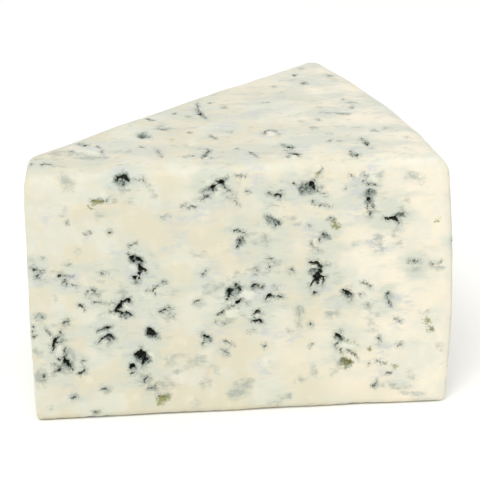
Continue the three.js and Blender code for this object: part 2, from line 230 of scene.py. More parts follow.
        (0.18, 15.6, 11.4, 15.3, 10.0), (0.16, 15.1, 12.5, 15.9, 12.4), (0.2, 13.8, 23.1),
        (0.18, 13.5, 22.0, 13.9, 22.1), (0.12, 13.9, 20.9, 14.6, 21.0), (0.22, 14.7, 25.4, 15.3, 25.9),
        (0.22, 15.6, 25.2, 15.7, 25.7), (0.24, 20.1, 23.6, 20.8, 24.2), (0.2, 21.3, 24.3, 21.2, 23.6),
        (0.2, 23.9, 27.8, 24.4, 27.4, 25.0, 26.5), (0.2, 24.1, 14.3, 24.5, 14.4),
        (0.26, 23.2, 11.3, 24.1, 11.6, 24.4, 12.3), (0.22, 21.3, 5.4, 22.2, 5.6),
        (0.16, 28.0, 7.3, 28.8, 7.3, 29.2, 6.6), (0.22, 26.1, 1.5, 26.7, 1.6, 27.1, 1.2),
        (0.18, 38.0, 9.9, 37.3, 8.9, 37.0, 7.8), (0.16, 38.1, 9.6, 38.8, 9.1), (0.18, 39.9, 7.6, 39.5, 6.5),
        (0.12, 38.0, 6.9, 38.9, 6.9), (0.16, 40.2, 4.8, 41.4, 4.5, 42.8, 5.0),
        (0.18, 30.4, 25.8, 30.9, 25.9), (0.2, 34.8, 24.6, 35.1, 24.7), (0.14, 27.4, 21.4, 28.4, 21.7),
        (0.2, 29.9, 18.6, 29.8, 17.6), (0.14, 40.0, 19.7, 40.4, 19.9, 40.8, 19.4),
        (0.16, 48.6, 27.2, 49.8, 27.7), (0.16, 43.0, 24.5, 44.0, 24.2), (0.12, 42.9, 26.2, 43.8, 26.0),
        (0.14, 50.2, 17.2, 51.2, 17.4), (0.2, 53.6, 23.8, 54.4, 24.2, 55.2, 25.1),
        (0.12, 55.3, 25.1, 57.6, 26.0), (0.14, 53.2, 22.2, 54.2, 22.2, 55.0, 21.7),
        (0.14, 54.9, 17.5, 56.8, 16.2), (0.18, 54.2, 15.3, 55.4, 14.5), (0.14, 60.3, 19.3, 61.5, 19.8),
        (0.12, 61.4, 22.8, 62.6, 22.6), (0.14, 58.6, 27.2, 59.4, 26.7, 60.2, 26.3),
        (0.14, 58.8, 29.9, 60.9, 29.7), (0.18, 61.5, 29.8, 61.7, 29.3), (0.16, 65.8, 29.6, 66.1, 29.0),
        (0.14, 60.6, 34.0, 61.4, 34.1, 62.5, 33.9), (0.12, 61.2, 33.2, 62.2, 33.1),
        (0.14, 65.8, 35.8, 67.0, 35.4), (0.12, 64.7, 36.5, 66.0, 36.5), (0.2, 69.6, 33.7, 69.8, 33.0),
        (0.14, 58.6, 43.3, 59.8, 42.9, 60.3, 42.1), (0.16, 58.0, 39.8, 58.6, 40.6),
        (0.16, 59.4, 41.2, 59.9, 40.5), (0.16, 58.9, 42.0, 59.3, 41.6), (0.16, 64.6, 46.4, 65.3, 45.0),
        (0.12, 60.1, 52.5, 60.8, 52.5), (0.2, 86.0, 51.0, 85.9, 49.9), (0.16, 87.1, 48.3, 87.3, 47.3),
        (0.16, 86.1, 48.0, 86.1, 46.9), (0.12, 87.1, 52.6, 88.1, 52.6), (0.14, 82.6, 55.1, 83.3, 54.7),
        (0.14, 85.3, 55.0, 85.8, 54.6), (0.12, 85.2, 53.6, 86.2, 53.0), (0.14, 81.5, 52.0),
        (0.2, 91.4, 45.0, 92.6, 45.4), (0.14, 93.9, 45.4, 93.9, 44.9), (0.16, 78.8, 45.0, 79.2, 44.0),
        (0.16, 77.4, 41.4, 77.9, 40.7), (0.14, 75.8, 40.5, 75.6, 39.8), (0.14, 73.9, 40.2, 74.3, 38.7),
        (0.12, 74.4, 38.6, 75.1, 38.1, 76.0, 38.0), (0.12, 73.5, 44.1, 73.9, 43.8),
        (0.14, 76.4, 34.4, 77.5, 34.4), (0.18, 74.0, 33.2, 74.9, 33.2), (0.2, 82.0, 26.6, 82.1, 25.5),
        (0.14, 84.9, 29.8, 86.0, 29.4, 86.8, 28.7), (0.16, 86.1, 24.4, 86.7, 24.3),
        (0.2, 90.5, 27.0, 90.5, 25.9), (0.18, 90.6, 25.2, 90.8, 24.6, 91.1, 24.0),
        (0.18, 71.7, 24.4, 71.3, 23.5), (0.2, 71.0, 20.7, 71.1, 20.0), (0.14, 69.1, 19.2, 69.4, 19.1),
        (0.16, 73.4, 15.2, 74.0, 15.8), (0.16, 79.5, 15.7, 79.1, 14.9, 79.3, 14.2),
        (0.18, 80.2, 14.0, 80.4, 12.9), (0.14, 81.8, 13.8, 83.1, 12.8, 83.9, 11.6),
        (0.18, 80.3, 18.5, 80.3, 18.0), (0.16, 88.1, 10.8, 88.6, 10.7, 89.8, 10.1), (0.2, 86.4, 10.3),
        (0.18, 87.3, 4.7, 88.1, 6.0), (0.18, 90.4, 7.7, 91.2, 7.6), (0.16, 92.3, 20.8, 93.5, 20.0),
        (0.18, 88.6, 16.4, 88.9, 15.8), (0.12, 92.7, 14.1, 93.5, 14.9), (0.12, 96.7, 34.3, 97.5, 34.2),
        (0.12, 100.1, 33.4, 101.0, 33.6, 102.0, 34.0), (0.14, 84.5, 26.9, 85.2, 26.9),
        (0.14, 75.7, 56.1, 76.4, 56.9), (0.12, 94.2, 48.8, 94.6, 48.6), (0.14, 100.0, 18.1, 100.4, 17.8),
    ],
    "grey": [
        (1.3, 34.0, 56.6, 34.6, 56.2), (1.2, 22.0, 57.6, 22.3, 55.6), (0.8, 22.8, 55.2),
        (1.1, 72.7, 52.5, 73.6, 51.6), (0.8, 51.7, 52.6, 52.3, 52.4), (1.0, 65.1, 45.6, 66.4, 44.9),
        (0.9, 86.4, 50.4, 86.6, 48.4), (0.7, 86.7, 46.6), (0.7, 92.5, 44.8, 93.0, 44.6),
        (0.7, 88.7, 54.8, 88.2, 54.6), (0.9, 37.0, 37.4, 37.6, 37.0), (0.7, 36.3, 32.5),
        (0.9, 26.6, 30.6, 27.2, 29.8), (0.8, 33.8, 30.0, 34.6, 29.8), (0.8, 33.0, 24.6, 33.4, 25.0),
        (0.9, 15.1, 25.4), (1.0, 20.8, 23.6), (1.6, 20.6, 16.6, 21.2, 14.6), (1.2, 19.2, 13.0, 20.0, 12.6),
        (1.2, 14.6, 11.6, 15.0, 9.2), (0.9, 14.3, 17.0, 14.4, 16.2), (0.8, 23.9, 11.8), (0.7, 22.0, 5.7),
        (0.8, 28.8, 7.0), (0.7, 26.6, 1.4), (0.8, 30.4, 19.2, 29.8, 18.0), (1.3, 37.0, 15.4, 38.2, 14.2),
        (1.3, 36.6, 9.6, 38.0, 8.4), (1.2, 38.6, 7.0, 39.6, 6.0), (1.2, 41.6, 8.0, 43.6, 7.4),
        (0.8, 41.4, 5.2, 42.6, 5.0), (0.9, 42.2, 24.8, 43.6, 24.4), (0.7, 49.5, 26.5),
        (1.2, 57.0, 29.4, 58.0, 29.2), (0.9, 57.4, 28.2, 58.4, 27.6), (0.6, 54.0, 24.0, 54.8, 24.8),
        (0.8, 54.6, 22.6, 56.2, 22.4), (0.7, 61.8, 33.8), (0.6, 66.3, 35.7), (0.6, 69.7, 33.5),
        (0.8, 58.2, 33.2), (0.8, 71.4, 23.6, 71.0, 20.6), (0.8, 55.2, 14.7), (0.6, 51.0, 17.8),
        (0.7, 76.4, 40.8, 77.0, 41.2), (0.8, 74.4, 33.0, 75.0, 33.2), (0.8, 82.0, 26.8, 82.2, 26.2),
        (0.8, 88.4, 40.2, 88.8, 37.4), (0.6, 92.2, 42.6, 92.0, 40.6), (0.6, 90.6, 25.6), (0.7, 86.3, 24.0),
        (0.9, 86.8, 21.6, 87.6, 21.4), (0.8, 87.2, 18.8), (0.8, 89.0, 15.6), (0.9, 81.0, 10.6, 79.6, 10.6),
        (0.9, 78.6, 8.6, 78.8, 8.5), (1.0, 74.6, 9.4), (0.7, 87.8, 5.2),
        (0.7, 90.2, 5.2, 94.0, 3.2, 97.4, 2.0, 98.4, 1.2), (0.7, 95.6, 7.0, 96.0, 5.6),
        (1.6, 57.0, 5.0, 60.0, 6.4), (1.0, 43.0, 13.4, 46.0, 14.6), (0.9, 47.6, 13.0, 50.6, 13.0),
        (0.8, 44.6, 10.6), (0.7, 52.4, 10.7), (0.8, 50.8, 8.0, 50.6, 7.0), (0.8, 48.4, 2.4),
        (0.8, 67.0, 2.6, 68.6, 3.2), (0.6, 65.4, 1.4), (0.8, 71.2, 7.2), (0.6, 44.2, 29.4),
        (0.7, 51.4, 30.0, 54.6, 30.4), (0.6, 93.0, 39.0), (0.7, 83.6, 39.4), (0.7, 96.8, 32.2),
        (0.6, 101.4, 32.6), (0.7, 99.0, 22.0), (0.6, 93.0, 14.4), (0.7, 77.6, 22.7, 79.6, 22.4),
        (0.7, 13.6, 37.8, 13.8, 39.2), (0.6, 16.2, 34.2, 17.2, 34.2), (0.5, 23.9, 40.2), (0.6, 18.6, 29.4),
        (0.6, 21.2, 49.6), (0.7, 29.2, 48.6), (0.6, 35.6, 50.8), (0.6, 40.0, 54.0, 40.4, 52.6),
        (0.7, 62.4, 41.0, 64.0, 40.6), (0.6, 70.0, 45.2, 71.4, 45.0), (0.8, 95.0, 54.6, 97.8, 53.0),
        (0.6, 102.0, 13.2), (0.5, 48.6, 38.5), (0.5, 50.5, 38.5),
    ],
    "bloom": [
        (2.2, 32.4, 56.8, 34.4, 58.4), (1.8, 53.4, 51.8, 55.6, 51.6), (1.6, 71.4, 54.6, 70.6, 51.4),
        (1.4, 62.6, 57.4, 62.8, 54.4), (2.2, 84.4, 53.6, 84.8, 50.2), (1.6, 87.6, 57.4, 86.6, 55.0),
        (1.6, 44.0, 47.0, 49.8, 48.4), (1.0, 53.0, 47.2), (1.1, 43.8, 40.6, 46.2, 43.2), (1.3, 26.0, 43.8),
        (1.2, 31.8, 39.4), (1.8, 37.6, 33.0, 35.2, 35.6), (1.4, 34.0, 27.0, 34.4, 26.2),
        (1.6, 14.6, 36.0, 16.0, 34.4), (1.6, 20.6, 32.6, 22.4, 33.6), (1.3, 29.0, 21.0, 28.6, 19.0),
        (1.6, 35.6, 13.8, 36.0, 12.0), (1.4, 36.6, 17.6, 35.4, 17.0), (1.4, 38.2, 22.6),
        (1.4, 20.8, 9.0, 21.2, 7.0), (1.6, 60.0, 28.2, 61.2, 27.6), (1.4, 64.2, 29.8, 66.0, 29.0),
        (1.6, 52.2, 20.4, 54.0, 18.6), (1.4, 62.0, 20.2, 63.6, 20.0), (1.2, 63.5, 11.6), (1.4, 64.0, 9.6),
        (1.4, 67.0, 17.8, 70.0, 17.6), (1.6, 73.4, 42.8, 74.6, 40.0), (1.8, 83.8, 46.4, 85.0, 47.6),
        (1.6, 87.6, 39.0, 90.2, 38.6), (1.4, 78.6, 24.8), (1.4, 74.4, 29.2, 76.0, 28.8),
        (1.4, 91.6, 24.4, 94.4, 24.4), (1.4, 89.4, 14.6, 89.2, 12.6), (1.2, 58.4, 39.0, 59.2, 38.4),
        (1.4, 52.4, 33.4, 53.0, 34.2), (1.2, 60.6, 31.2, 61.6, 32.0), (1.2, 93.2, 19.6), (1.0, 68.8, 38.4),
        (1.2, 18.6, 49.0, 21.0, 49.6), (1.2, 89.2, 6.6, 91.6, 5.8),
    ],
    "curd": [
        (0.85, 33.8, 27.0, 34.3, 26.8), (0.4, 33.6, 56.2), (0.36, 34.6, 55.8),
        (0.55, 53.9, 54.1, 54.4, 53.4), (0.5, 52.4, 54.6, 52.9, 54.8), (0.5, 53.6, 52.5, 54.1, 52.3),
        (1.3, 59.6, 28.3, 60.4, 28.0), (0.55, 62.2, 23.2), (0.55, 50.9, 17.7),
        (1.2, 56.4, 24.0, 56.9, 24.2), (0.9, 63.6, 12.2), (0.95, 18.8, 17.4, 19.0, 16.4),
        (0.5, 75.3, 34.0, 74.6, 34.2), (0.6, 31.6, 24.5, 32.1, 24.2), (0.55, 42.5, 24.6),
        (0.6, 88.0, 53.6, 87.4, 54.2), (0.5, 36.2, 35.6, 35.6, 36.2), (0.5, 29.0, 18.9, 29.3, 18.6),
        (0.45, 40.2, 19.1), (0.6, 38.6, 15.2, 39.0, 14.4), (0.55, 30.0, 53.2), (0.6, 26.3, 30.7),
        (0.6, 80.9, 15.0, 82.6, 14.4), (0.5, 59.4, 41.6),
    ],
    "olive": [
        (0.55, 28.0, 51.5, 29.6, 51.7), (0.3, 27.0, 50.7, 27.5, 50.1), (0.85, 79.4, 43.4, 79.8, 43.2),
        (0.35, 78.8, 44.6, 79.2, 44.0), (0.6, 101.0, 43.8, 101.6, 44.1), (0.85, 81.2, 10.9, 82.3, 10.8),
        (0.45, 80.9, 11.5, 81.1, 9.7), (0.62, 86.6, 13.8, 86.7, 13.5), (0.7, 98.8, 20.0, 99.6, 19.6),
        (0.35, 99.6, 17.6, 100.3, 18.0), (0.22, 81.4, 16.1, 84.0, 15.1), (0.8, 40.6, 4.0, 42.2, 4.4),
        (0.6, 92.2, 9.2), (0.5, 16.6, 3.2), (0.4, 40.2, 2.8, 41.2, 3.2), (0.3, 75.6, 55.6),
    ],
}

TOP_MARKS = {
    "open": [
        (0.5, 38.8, 16.3, 39.2, 17.0), (0.32, 40.0, 16.1, 40.4, 16.0), (0.36, 52.3, 28.0, 52.4, 28.9),
        (0.58, 70.2, 8.6, 70.9, 8.0), (0.34, 71.8, 4.2, 70.6, 4.8), (0.42, 86.8, 8.4, 86.9, 7.9),
        (0.36, 84.2, 2.6, 83.8, 3.4), (0.4, 76.8, 44.9, 77.0, 44.7), (0.28, 52.9, 7.6, 52.4, 6.8),
        (0.2, 75.1, 50.3), (0.4, 26.8, 13.4, 27.1, 13.3), (0.22, 15.2, 4.9), (0.24, 17.6, 4.4, 17.9, 4.4),
        (0.18, 58.2, 17.8), (0.18, 84.7, 34.2),
    ],
    "hollow": [
        (0.95, 38.9, 16.7, 40.0, 16.6), (0.5, 70.5, 8.2, 70.6, 8.9), (0.45, 52.3, 28.3, 52.6, 27.4),
        (0.45, 86.7, 8.6, 86.9, 7.8), (0.5, 52.2, 6.2, 51.9, 5.2),
    ],
    "curd": [
        (0.6, 52.6, 5.6, 52.8, 4.8), (0.6, 26.9, 9.6, 28.6, 9.2), (0.6, 70.9, 3.6, 70.6, 3.1),
        (0.7, 66.4, 16.4, 67.2, 15.6),
    ],
    "vein": [
        (0.18, 18.2, 4.9, 19.7, 4.1), (0.16, 23.6, 10.5, 24.1, 10.4), (0.16, 25.3, 14.2, 25.8, 14.1),
        (0.12, 29.3, 12.5, 30.0, 11.0, 30.5, 8.1), (0.2, 39.3, 17.2, 39.2, 18.2),
        (0.14, 38.6, 11.4, 39.1, 11.2), (0.12, 41.7, 10.3, 42.3, 8.0, 42.8, 5.9),
        (0.14, 52.0, 34.0, 52.1, 31.2, 52.3, 28.8), (0.12, 52.4, 27.8, 53.0, 26.4, 53.5, 25.0),
        (0.16, 55.0, 34.2, 55.4, 34.3), (0.14, 49.6, 26.7, 50.1, 26.6), (0.12, 53.8, 16.1, 54.8, 14.4),
        (0.12, 49.4, 18.1, 49.8, 17.9), (0.14, 52.7, 8.8, 53.1, 7.7, 52.0, 5.9, 51.2, 4.2),
        (0.14, 53.2, 4.1, 53.5, 3.9), (0.12, 58.8, 8.6, 59.3, 8.5), (0.12, 61.6, 6.2, 62.4, 5.0, 63.0, 3.5),
        (0.13, 65.3, 15.7, 65.8, 17.4, 67.0, 18.2, 68.2, 17.0, 68.7, 14.7), (0.15, 68.7, 10.3, 69.6, 8.9),
        (0.14, 69.1, 6.7, 69.5, 6.5), (0.14, 70.0, 5.0, 71.0, 4.8, 72.0, 3.2), (0.14, 69.6, 3.3, 70.0, 3.3),
        (0.12, 82.8, 49.6, 83.3, 49.4), (0.12, 78.8, 30.1, 79.3, 29.9), (0.14, 86.2, 32.3, 86.7, 32.1),
        (0.12, 79.0, 27.0, 82.0, 26.6, 85.0, 25.6), (0.14, 76.2, 18.2, 76.7, 18.1),
        (0.12, 73.8, 22.1, 74.3, 21.9), (0.12, 79.3, 14.8, 79.8, 14.6), (0.14, 81.0, 10.5, 81.5, 10.3),
        (0.14, 86.0, 11.5, 86.5, 9.8, 86.9, 8.2), (0.12, 89.0, 15.5, 89.6, 15.4),
        (0.14, 83.0, 4.9, 83.2, 3.4, 83.3, 2.4), (0.13, 87.3, 5.9, 87.8, 5.7),
    ],
    "grey": [
        (1.1, 15.8, 7.7, 16.4, 7.5), (1.1, 20.0, 9.6, 24.0, 8.8, 26.5, 6.9, 30.0, 6.7),
        (0.7, 19.8, 8.0, 20.2, 6.7), (0.8, 26.4, 13.8), (0.9, 39.2, 17.6, 39.6, 18.2),
        (0.6, 51.4, 31.0, 51.8, 28.8), (0.7, 53.4, 25.2, 53.2, 26.2), (0.7, 57.6, 31.6, 58.4, 31.4),
        (0.7, 43.0, 23.0, 45.0, 20.7, 47.0, 18.8), (0.6, 54.4, 15.2), (0.7, 52.4, 7.0, 51.6, 5.2),
        (0.7, 62.4, 5.0), (0.8, 70.2, 8.8, 69.6, 9.6), (0.7, 70.8, 4.8), (0.7, 76.9, 45.4),
        (0.8, 82.6, 49.4, 83.6, 49.2), (0.6, 84.0, 26.0), (0.7, 76.4, 18.6), (0.8, 86.4, 10.4, 86.8, 8.8),
        (0.8, 91.6, 16.8, 92.4, 16.6), (0.7, 89.2, 15.8), (0.7, 86.0, 32.8), (0.9, 34.4, 9.6, 36.0, 9.2),
        (0.7, 45.6, 12.2, 47.4, 11.4), (0.8, 33.2, 15.0, 34.4, 14.4),
    ],
    "bloom": [
        (1.8, 29.6, 12.2, 30.6, 9.0), (1.8, 42.4, 22.8, 46.6, 19.8), (1.8, 51.0, 32.4, 50.8, 29.4),
        (1.6, 50.4, 6.6, 52.6, 4.6), (1.6, 58.4, 5.6, 62.0, 4.2), (1.8, 66.6, 15.8, 67.6, 17.0),
        (1.6, 73.0, 8.4, 72.6, 5.6), (1.8, 82.6, 5.4, 86.6, 5.0), (1.6, 84.0, 28.0, 80.4, 27.6),
        (1.6, 40.0, 8.0, 42.0, 7.4), (1.4, 22.4, 11.4, 24.8, 12.0), (1.6, 56.6, 20.6, 58.0, 21.6),
        (1.6, 62.6, 26.0, 64.4, 27.4), (1.6, 68.0, 36.0, 70.0, 37.0),
    ],
    "olive": [
        (0.5, 57.8, 31.3, 58.2, 31.0), (0.4, 91.8, 16.5), (0.4, 16.2, 7.2),
    ],
}

# The far face's pockets stand where the solid part has them: along, height, half length, half height, turn
FAR_POCKETS = [
    (30.0, 44.0, 1.7, 1.2, 20.0), (47.5, 31.0, 1.5, 1.6, 0.0), (58.0, 49.5, 1.9, 0.9, -25.0),
    (69.0, 18.5, 1.6, 1.4, 45.0), (78.5, 39.0, 1.8, 1.1, 10.0), (90.0, 24.0, 1.4, 1.0, -50.0),
    (38.0, 14.0, 1.8, 1.0, 30.0),
]

# The half widths of a far pocket's marks, as shares of its half height
FAR_POCKET_SHARES = {"open": 0.62, "hollow": 0.9, "grey": 1.1}


@dataclass
class Kind:
    """How one kind of mark lies in the paste. Its ragged edge wanders this far, and this coarsely. It fades
    out this far outside the mark, and thins by this share towards its last point. It sinks this deep, or a
    curd stands this high. That starts a lip's width outside the mark and takes a slope this wide, and the
    floor is this level and this rough."""
    wander: float
    grain: float
    fade: float
    taper: float
    depth: float = 0.0
    lip: float = 0.0
    slope: float = 1.0
    level: float = 1.0
    rough: float = 0.0


KINDS = {
    "open": Kind(0.30, 0.85, 1.5, 0.62, 1.45, 0.0, 0.28, 0.85, 0.25),
    "hollow": Kind(0.32, 0.90, 1.2, 0.15, 0.65, 0.1, 0.45, 0.90, 0.50),
    "vein": Kind(0.24, 0.80, 1.2, 0.60, 0.30, 0.05, 0.20),
    "grey": Kind(0.75, 1.6, 2.0, 0.3),
    "bloom": Kind(1.0, 2.6, 3.0, 0.0),
    "curd": Kind(0.3, 1.2, 1.0, 0.1, 0.20, 0.3, 0.7),
    "olive": Kind(0.34, 1.0, 1.5, 0.3),
}
SUNKEN_KINDS = ("open", "hollow", "vein")
FLOOR_GRAIN = 0.6

# The wandering has a finer wander on it, and each kind of mark reads its own part of the random field
FINER_GRAIN = 0.42
FINER_SHARE = 0.5
FIELD_STEPS = (17.3, 9.1, 23.7)

# The wire's swells and ripples: how coarse and how deep they are
SWELL_GRAIN, SWELL_DEPTH = 9.0, 0.16
RIPPLE_GRAIN, RIPPLE_DEPTH = 2.1, 0.07
RIPPLE_FIELD = Vector((40, 0, 0))

# How much each kind of mark adds to the haze of mould round it, how far that reaches, and where it is cut off
HAZE_WEIGHTS = {"open": 0.30, "vein": 0.13, "grey": 0.10}
HAZE_REACH = 3.2
HAZE_LIMIT = 3 * HAZE_REACH

# A seeded colony: how far apart and how large, and its measures and half widths as shares of its size
COLONY_SPACING = 5.5
COLONY_TRIES = 6
COLONY_SIZES = (0.9, 2.1)
COLONY_STEP = 0.62
COLONY_CURL = 1.1
CURD_AWAY, CURD_TURN = 0.8, 2
ARM_REACHES = (0.7, 0.8)
ARM_BEND = 0.9
ARM_HALF_WIDTHS = (0.10, 0.2)
SMEAR_REACH = 0.6
COLONY_SHARES = {
    "open": (0.28, 0.5), "hollow": (0.34, 0.62), "curd": (0.3, 0.5), "vein": (0.14, 0.22),
    "grey": (0.5, 0.9), "bloom": (0.9, 1.5),
}

# Where the top and the underside have room for seeded marks: the share of the half angle, and how far out
TOP_SHARE, TOP_REACH = 0.9, 98
UNDERSIDE_SHARE, UNDERSIDE_REACH = 0.78, 38

# The seeded specks between the colonies: up to which draw each kind comes, its half widths and its points
SPECK_LENGTHS = (0.3, 2.2)
SPECK_BEND = 0.8
SPECKS = (
    (0.44, "vein", (0.09, 0.19), 3),
    (0.62, "open", (0.17, 0.28), 1),
    (0.93, "grey", (0.5, 0.9), 2),
    (1.0, "olive", (0.3, 0.7), 2),
)

# The field that makes the marks ragged needs a seed of its own, or it changes with the time of day
RAGGED_SEED = 1


def hand_placed(marks, place):
    """The marks drawn one by one, with their points stood on one face of the wedge."""
    return {
        kind: [(half_width, [place(*spot) for spot in zip(line[::2], line[1::2])])
               for half_width, *line in marks[kind]]
        for kind in KINDS}


def onwards(spot, angle, reach):
    """The point at an angle and a distance from another."""
    return (spot[0] + reach * math.cos(angle), spot[1] + reach * math.sin(angle))


def add_colony(marks, chance, place, spot, size):
    """One seeded pocket with its crack arms, a thin grey smear and a pale bloom round it."""
    def add(kind, line):
        marks[kind].append((size * chance.uniform(*COLONY_SHARES[kind]), [place(*s) for s in line]))

    turn = chance.uniform(0, math.tau)
    spots = []
    steps = chance.choice((2, 3, 4, 5))
    curl = chance.uniform(-COLONY_CURL, COLONY_CURL)
    for step in range(steps):
        spot = onwards(spot, turn + curl * step, size * COLONY_STEP)
        spots.append(spot)
    open_until = chance.choice((1, 2, 2, 3))
    add("open", spots[:open_until + 1])
    add("hollow", spots[:2])
    add("curd", [onwards(spots[0], turn + CURD_TURN, size * CURD_AWAY)])
    if steps > open_until + 1:
        add("vein", spots[open_until:])
    for _ in range(chance.choice((1, 2, 2, 3))):
        start = chance.choice(spots)
        angle = chance.uniform(0, math.tau)
        middle = onwards(start, angle, size * ARM_REACHES[0])
        bend = angle + chance.uniform(-ARM_BEND, ARM_BEND)
        end = onwards(middle, bend, size * ARM_REACHES[1])
        marks["vein"].append((chance.uniform(*ARM_HALF_WIDTHS), [place(*s) for s in (start, middle, end)]))
    smear = chance.choice(spots)
    add("grey", [smear, (smear[0] + size * SMEAR_REACH, smear[1])])
    add("bloom", [(smear[0] + size, smear[1] + size * 0.5)])


def add_speck(marks, chance, place, spot):
    """One seeded short crack, grey smudge, dot or olive fleck between the colonies."""
    angle = chance.uniform(0, math.tau)
    length = chance.uniform(*SPECK_LENGTHS)
    bend = angle + chance.uniform(-SPECK_BEND, SPECK_BEND)
    middle = onwards(spot, angle, length * 0.5)
    line = [place(*s) for s in (spot, middle, onwards(middle, bend, length * 0.5))]
    draw = chance.random()
    kind, half_widths, points = next(row[1:] for row in SPECKS if draw < row[0])
    marks[kind].append((chance.uniform(*half_widths), line[:points]))


def seeded_marks(seed, place, wide, tall, colonies, specks, room):
    """Marks for a face that isn't drawn by hand, spread over it but kept off its edges and each other."""
    chance = random.Random(seed)
    marks = {kind: [] for kind in KINDS}
    taken = []
    for _ in range(colonies * COLONY_TRIES):
        spot = (chance.uniform(*wide), chance.uniform(*tall))
        if not room(*spot) or any(math.dist(spot, other) < COLONY_SPACING for other in taken):
            continue
        taken.append(spot)
        add_colony(marks, chance, place, spot, chance.uniform(*COLONY_SIZES))
        if len(taken) == colonies:
            break
    for _ in range(specks):
        spot = (chance.uniform(*wide), chance.uniform(*tall))
        if room(*spot):
            add_speck(marks, chance, place, spot)
    return marks


def far_pocket_marks():
    """The open pockets of the far face, as short thick strokes."""
    marks = {kind: [] for kind in KINDS}
    for along, height, half_length, half_height, turn in FAR_POCKETS:
        lean = math.radians(turn)
        dx = (half_length - half_height * 0.5) * math.cos(lean)
        dz = (half_length - half_height * 0.5) * math.sin(lean)
        ends = [on_cut(FAR, along - dx, height - dz), on_cut(FAR, along + dx, height + dz)]
        for kind, share in FAR_POCKET_SHARES.items():
            marks[kind].append((half_height * share, ends))
    return marks


def on_underside(x, y):
    """A point on the underside."""
    return (x, y, 0.0)


def anywhere(across, up):
    """Room all over the face."""
    return True


def between_cuts(x, y, share):
    """Whether a place lies within a share of the wedge's half angle, to either side of its middle."""
    return abs(math.atan2(y, x - SHARP_POINT)) < HALF_ANGLE * share


def on_wedge_top(along, inward):
    """Whether a point of the top lies between the two cuts and clear of the heel."""
    x, y, _ = on_top(along, inward)
    return between_cuts(x, y, TOP_SHARE) and math.hypot(x - SHARP_POINT, y) < TOP_REACH


def under_wedge(x, y):
    """Whether a point of the underside lies well inside the wedge's outline."""
    return between_cuts(x, y, UNDERSIDE_SHARE) and x < UNDERSIDE_REACH


# The faces with seeded marks: seed, where a point goes, its two ranges, colonies, specks, and the room
SEEDED_FACES = (
    (11, partial(on_cut, FAR), (17, 102), (3, 55), 28, 50, anywhere),
    (12, on_heel, (-31, 31), (4, 54), 18, 40, anywhere),
    (13, on_top, (30, 96), (4, 58), 0, 24, on_wedge_top),
    (14, on_underside, (-34, 40), (-32, 32), 7, 24, under_wedge),
)


def all_marks():
    """Every mark on the wedge, drawn and seeded, by kind."""
    faces = [hand_placed(NEAR_MARKS, partial(on_cut, NEAR)), hand_placed(TOP_MARKS, on_top)]
    faces.append(far_pocket_marks())
    faces.extend(seeded_marks(*face) for face in SEEDED_FACES)
    return {kind: [mark for face in faces for mark in face[kind]] for kind in KINDS}


# ---------------------------------------------------------------- the wedge of paste

def out_of_cut(side):
    """The direction straight out of a cut face."""
    return Vector((-math.sin(HALF_ANGLE), side * math.cos(HALF_ANGLE), 0))


# The far cut turns into the flat end of the tip round this centre
FAR_TURN = math.pi / 2 - HALF_ANGLE - TIP_TURN
TIP_CENTRE = Vector((SHARP_POINT + TIP_CENTRE_FROM_POINT, 0, 0))
OUT_OF_TIP = Vector((-math.cos(TIP_TURN), math.sin(TIP_TURN), 0))
HEEL_CENTRE = Vector((SHARP_POINT + HEEL_CENTRE_FROM_POINT, 0, 0))
CUTS_MEET = Vector((SHARP_POINT, 0, 0))


def select_edges(piece, wanted):
    """Selects the edges whose two ends satisfy wanted, and nothing else."""
    mesh = bmesh.from_edit_mesh(piece.data)
    for part in (*mesh.verts, *mesh.edges, *mesh.faces):
        part.select = False
    for edge in mesh.edges:
        edge.select = all(wanted(end.co / MM) for end in edge.verts)
    bmesh.update_edit_mesh(piece.data)


def slice_off(through, outwards):
    """Cuts straight through the paste and takes away what lies outwards of the cut."""
    bpy.ops.mesh.select_all(action="SELECT")
    bpy.ops.mesh.bisect(plane_co=through * MM, plane_no=outwards, use_fill=True, clear_outer=True)


def round_edges(piece, wanted, offset, segments):
    """Bevels the edges whose two ends satisfy wanted."""
    select_edges(piece, wanted)
    bpy.ops.mesh.bevel(
        offset=offset * MM, segments=segments, profile=0.5, affect="EDGES", clamp_overlap=False)


def cut_wedge():
    """A disc of paste, cut twice through the sharp point and blunted, with the tip's two upright edges, the
    far upright corner and the foot rounded.
    """
    bpy.ops.object.select_all(action="DESELECT")
    bpy.ops.mesh.primitive_cylinder_add(
        vertices=WHEEL_SIDES, radius=HEEL_RADIUS * MM, depth=WHEEL_HEIGHT * MM,
        location=(HEEL_CENTRE + Vector((0, 0, WHEEL_HEIGHT / 2))) * MM)
    piece = bpy.context.object
    piece.name = "paste_wedge"
    bpy.ops.object.transform_apply(location=True, rotation=True, scale=True)
    bpy.ops.object.mode_set(mode="EDIT")
    bpy.ops.mesh.select_mode(type="EDGE")
    tip_end = TIP_CENTRE + OUT_OF_TIP * TIP_ROUND
    slice_off(CUTS_MEET, out_of_cut(NEAR))
    slice_off(CUTS_MEET, out_of_cut(FAR))
    slice_off(tip_end, OUT_OF_TIP)

    def on_tip_and(side):
        return lambda spot: (abs((spot - tip_end).dot(OUT_OF_TIP)) < SAME_PLACE
                             and abs((spot - CUTS_MEET).dot(out_of_cut(side))) < SAME_PLACE)

    round_edges(piece, on_tip_and(FAR), TIP_ROUND * math.tan(FAR_TURN / 2), WIDE_SEGMENTS)
    round_edges(piece, on_tip_and(NEAR), TIP_CORNER, NARROW_SEGMENTS)
    far_reach = max(vertex.co.y for vertex in bmesh.from_edit_mesh(piece.data).verts) / MM
    round_edges(piece, lambda spot: abs(spot.y - far_reach) < SAME_PLACE, FAR_CORNER_ROUND, WIDE_SEGMENTS)
    round_edges(piece, lambda spot: spot.z < SAME_PLACE, BASE_ROUND, NARROW_SEGMENTS)
    bpy.ops.object.mode_set(mode="OBJECT")
    return piece


